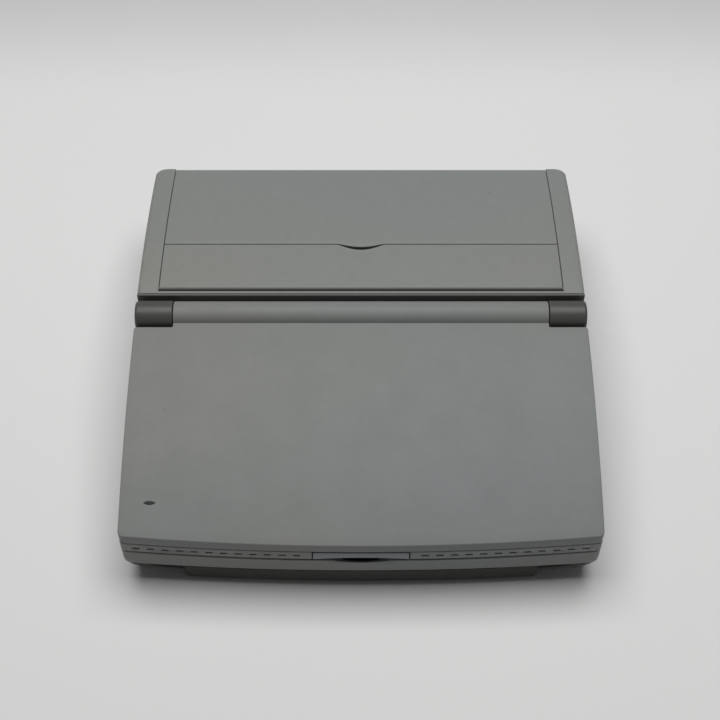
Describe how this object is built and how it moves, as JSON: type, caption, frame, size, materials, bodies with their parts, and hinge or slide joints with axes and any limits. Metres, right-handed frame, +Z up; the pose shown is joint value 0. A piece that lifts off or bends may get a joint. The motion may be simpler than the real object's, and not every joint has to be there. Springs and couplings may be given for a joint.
{
  "type": "electronic word processor",
  "caption": "Portable word processor with an arched hinged lid over the keyboard, a printer under two flaps at the rear, a front latch and a pull-out carrying handle.",
  "frame": {"origin": "on the table under the middle of the closed machine", "axes": "+X to the user's right, +Y from the user to the rear, +Z up"},
  "size_m": [0.33, 0.338, 0.097],
  "materials": {
    "case_grey": "fine moulded texture",
    "latch_grey": "smooth satin",
    "charcoal": "fine moulded texture",
    "rubber": "matte",
    "key_grey": "fine texture",
    "steel": "zinc plated",
    "board_green": "solder mask",
    "black_plastic": "satin",
    "gear_white": "satin",
    "display_glass": "anti-glare",
    "lamp_lens": "clear over dark"
  },
  "bodies": {
    "base": {"lower_case": "charcoal", "upper_case": "case_grey", "hinge_trim": "charcoal", "hinge_cap_left": "charcoal", "hinge_cap_right": "charcoal", "hinge_clutch_left": "steel", "hinge_clutch_right": "steel", "foot_front_left": "rubber", "foot_front_right": "rubber", "foot_rear_left": "rubber", "foot_rear_right": "rubber", "keyboard_plate": "key_grey", "main_board": "board_green", "power_board": "board_green", "battery_pack": "black_plastic", "battery_cover": "charcoal", "floppy_drive": "black_plastic", "dc_inlet": "black_plastic", "printer_chassis": "steel", "guide_shaft": "steel", "paper_chute": "black_plastic", "feed_motor": "steel", "carriage_motor": "steel", "carriage_belt": "rubber"},
    "lid": {"lid_shell": "case_grey", "lid_bezel": "case_grey", "display_panel": "black_plastic", "display_window": "display_glass", "inverter_board": "board_green", "charge_lens": "lamp_lens", "lid_bumper_left": "rubber", "lid_bumper_right": "rubber", "latch_pin": "steel"},
    "latch": {"lid_latch": "latch_grey"},
    "handle": {"carry_handle": "charcoal"},
    "support": {"paper_support": "case_grey", "support_tab": "case_grey"},
    "cover": {"ribbon_cover": "case_grey"},
    "switch": {"power_switch": "black_plastic"},
    "eject": {"floppy_button": "black_plastic"},
    "platen": {"platen_roller": "rubber", "platen_gear": "gear_white"},
    "idler": {"idler_gear": "gear_white"},
    "pinion": {"motor_pinion": "steel"},
    "carriage": {"carriage": "black_plastic", "print_head": "steel", "ribbon_cassette": "black_plastic"},
    "pulley_right": {"drive_pulley": "gear_white"},
    "pulley_left": {"idler_pulley": "gear_white"},
    "bail": {"paper_bail": "black_plastic"},
    "key_thumb_left": {"key_thumb_left": "key_grey"},
    "key_thumb_right": {"key_thumb_right": "key_grey"},
    "key_shift_left": {"key_shift_left": "key_grey"},
    "key_shift_right": {"key_shift_right": "key_grey"},
    "key_return": {"key_return": "key_grey"}
  },
  "joints": [
    {"name": "lid_hinge", "type": "hinge", "parent": "base", "child": "lid", "pos_m": [0, 0.008, 0.085], "axis": [-1, 0, 0], "range_deg": [0, 115]},
    {"name": "latch_pivot", "type": "hinge", "parent": "lid", "child": "latch", "pos_m": [0, -0.165, 0.0466], "axis": [-1, 0, 0], "range_deg": [0, 12], "stiffness_Nm_per_rad": 0.05, "springref_deg": -8.59},
    {"name": "handle_slide", "type": "slide", "parent": "base", "child": "handle", "axis": [0, -1, 0], "range_m": [0, 0.04]},
    {"name": "support_hinge", "type": "hinge", "parent": "base", "child": "support", "pos_m": [0, 0.1642, 0.0736], "axis": [-1, 0, 0], "range_deg": [0, 110]},
    {"name": "cover_hinge", "type": "hinge", "parent": "base", "child": "cover", "pos_m": [0, 0.0292, 0.0907], "axis": [1, 0, 0], "range_deg": [0, 70]},
    {"name": "switch_slide", "type": "slide", "parent": "base", "child": "switch", "axis": [-1, 0, 0], "range_m": [0, 0.004]},
    {"name": "eject_slide", "type": "slide", "parent": "base", "child": "eject", "axis": [-1, 0, 0], "range_m": [0, 0.003], "stiffness_N_per_m": 300, "springref_m": -0.001},
    {"name": "platen_spin", "type": "hinge", "parent": "base", "child": "platen", "pos_m": [0, 0.112, 0.06], "axis": [1, 0, 0], "continuous": true},
    {"name": "idler_spin", "type": "hinge", "parent": "base", "child": "idler", "pos_m": [0.1475, 0.13109, 0.04091], "axis": [1, 0, 0], "continuous": true},
    {"name": "pinion_spin", "type": "hinge", "parent": "base", "child": "pinion", "pos_m": [0.1475, 0.14064, 0.05617], "axis": [1, 0, 0], "continuous": true},
    {"name": "carriage_slide", "type": "slide", "parent": "base", "child": "carriage", "axis": [1, 0, 0], "range_m": [0, 0.22]},
    {"name": "drive_pulley_spin", "type": "hinge", "parent": "base", "child": "pulley_right", "pos_m": [0.13, 0.0645, 0.044], "axis": [0, 1, 0], "continuous": true},
    {"name": "idler_pulley_spin", "type": "hinge", "parent": "base", "child": "pulley_left", "pos_m": [-0.13, 0.0645, 0.044], "axis": [0, 1, 0], "continuous": true},
    {"name": "bail_pivot", "type": "hinge", "parent": "base", "child": "bail", "pos_m": [0, 0.138, 0.064], "axis": [-1, 0, 0], "range_deg": [0, 10], "stiffness_Nm_per_rad": 0.3, "springref_deg": -11.46},
    {"name": "key_thumb_left_press", "type": "slide", "parent": "base", "child": "key_thumb_left", "axis": [0, 0.1781, -0.984], "range_m": [0, 0.003], "stiffness_N_per_m": 150, "springref_m": -0.002},
    {"name": "key_thumb_right_press", "type": "slide", "parent": "base", "child": "key_thumb_right", "axis": [0, 0.1781, -0.984], "range_m": [0, 0.003], "stiffness_N_per_m": 150, "springref_m": -0.002},
    {"name": "key_shift_left_press", "type": "slide", "parent": "base", "child": "key_shift_left", "axis": [0, 0.1781, -0.984], "range_m": [0, 0.003], "stiffness_N_per_m": 150, "springref_m": -0.002},
    {"name": "key_shift_right_press", "type": "slide", "parent": "base", "child": "key_shift_right", "axis": [0, 0.1781, -0.984], "range_m": [0, 0.003], "stiffness_N_per_m": 150, "springref_m": -0.002},
    {"name": "key_return_press", "type": "slide", "parent": "base", "child": "key_return", "axis": [0, 0.1781, -0.984], "range_m": [0, 0.003], "stiffness_N_per_m": 150, "springref_m": -0.002}
  ],
  "couplings": [
    {"joint": "idler_spin", "follows": "platen_spin", "ratio": -1.25},
    {"joint": "pinion_spin", "follows": "platen_spin", "ratio": 2.5},
    {"joint": "drive_pulley_spin", "follows": "carriage_slide", "rad_per_m": 116.28},
    {"joint": "idler_pulley_spin", "follows": "carriage_slide", "rad_per_m": 116.28}
  ]
}
